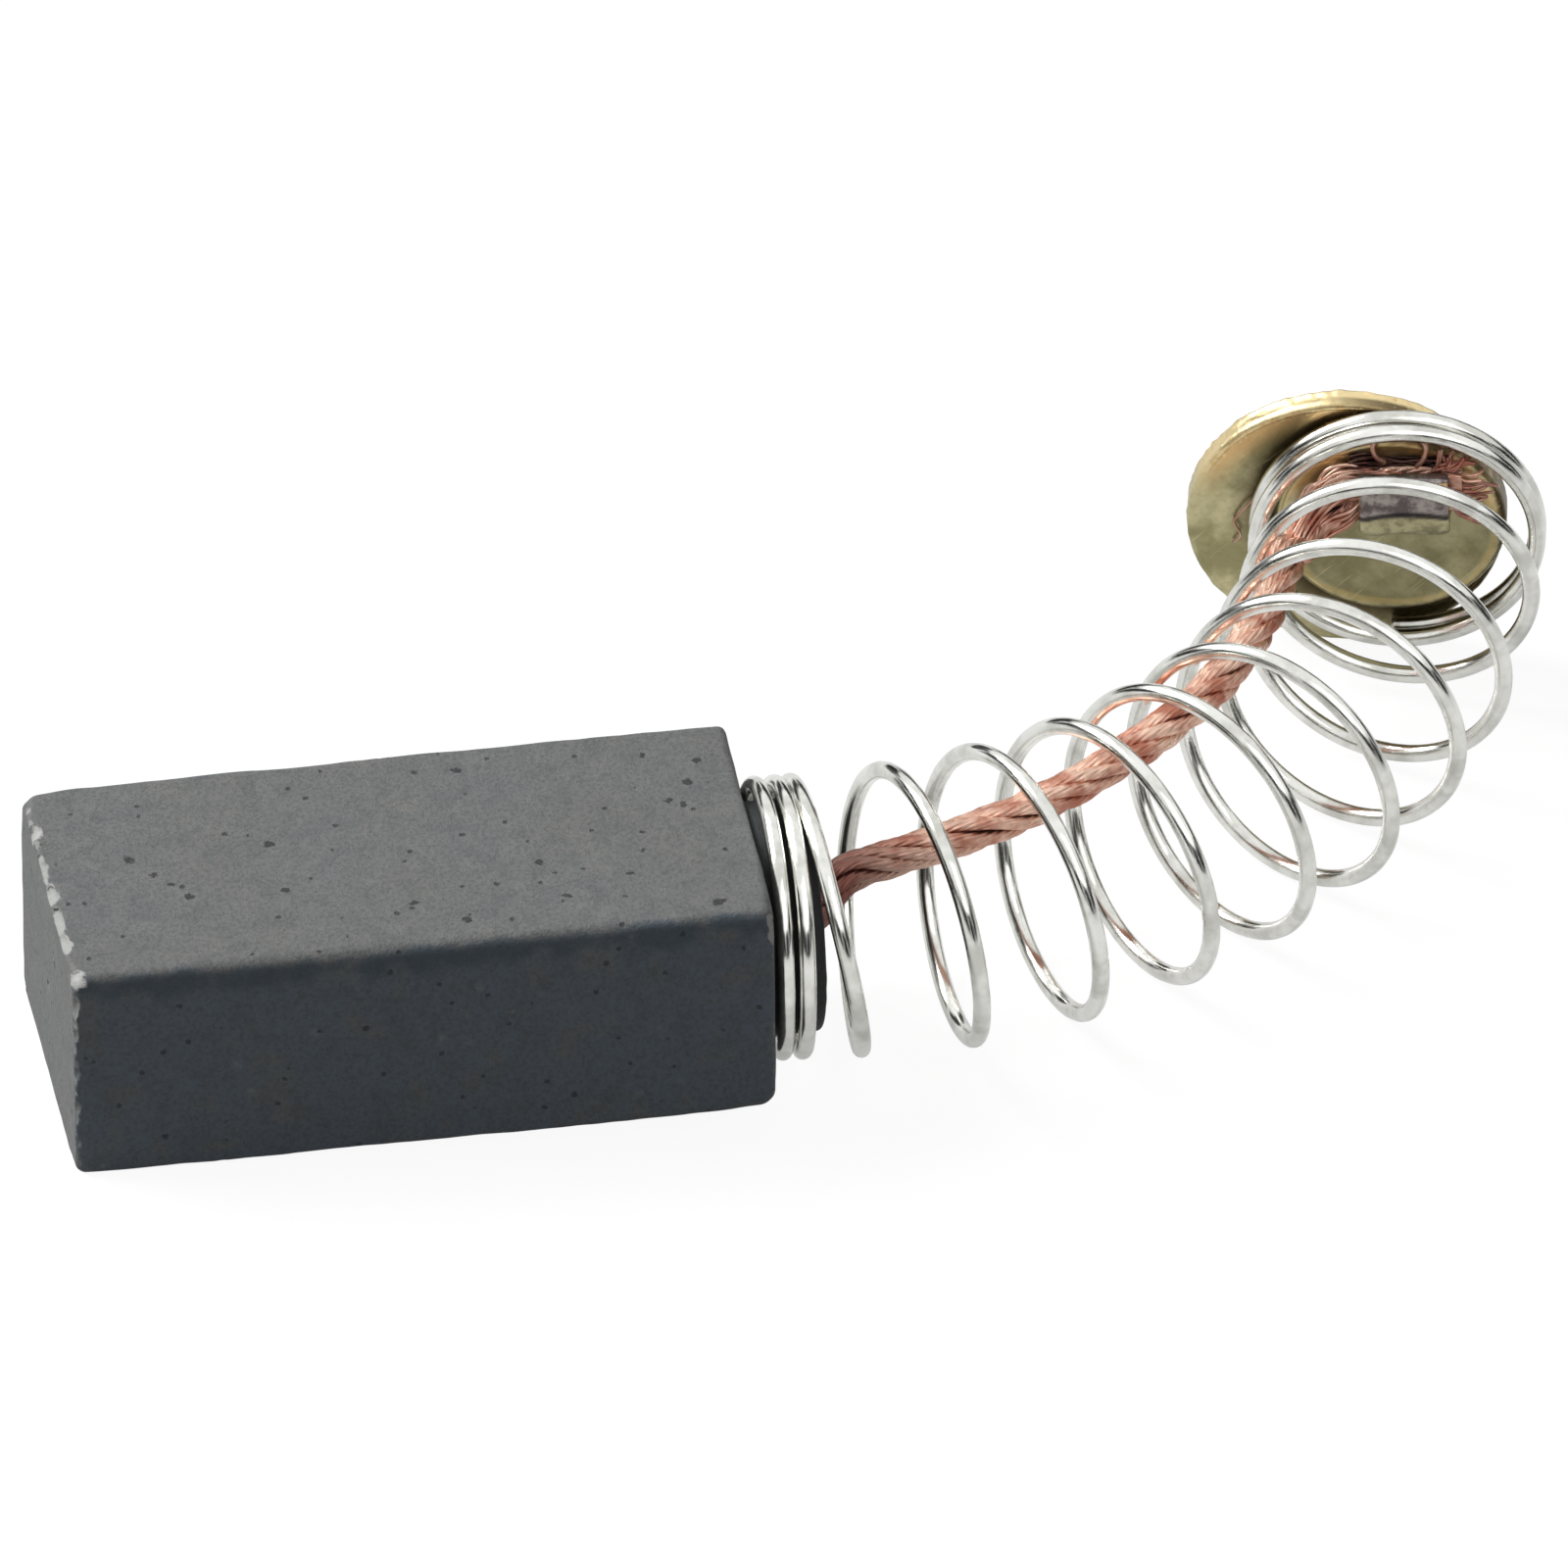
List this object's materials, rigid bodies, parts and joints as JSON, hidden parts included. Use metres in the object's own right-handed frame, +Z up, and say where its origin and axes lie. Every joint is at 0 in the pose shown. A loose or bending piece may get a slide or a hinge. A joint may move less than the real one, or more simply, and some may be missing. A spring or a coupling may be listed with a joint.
{
  "type": "carbon brush",
  "caption": "Carbon brush: oblong carbon block with a round boss, bent coil spring, copper rope lead inside the spring, and a round brass cap that clamps the lead.",
  "frame": {"origin": "middle of the part's outline seen from above, on the bench it lies on", "axes": "+X from the wearing end of the block towards the spring, +Y to the side the spring bends to, +Z up"},
  "size_m": [0.034, 0.018, 0.0068],
  "materials": {
    "carbon": "matte, dark grey pressed carbon",
    "copper_powder": "matte, packed copper powder",
    "spring_steel": "bright drawn wire",
    "copper_rope": "satin copper strands",
    "brass": "dull olive-yellow sheet, brighter at the edges"
  },
  "bodies": {
    "root": {"carbon_block": "carbon", "tamping_plug": "copper_powder", "spring": "spring_steel", "copper_lead": "copper_rope", "brass_cap": "brass"}
  },
  "joints": []
}
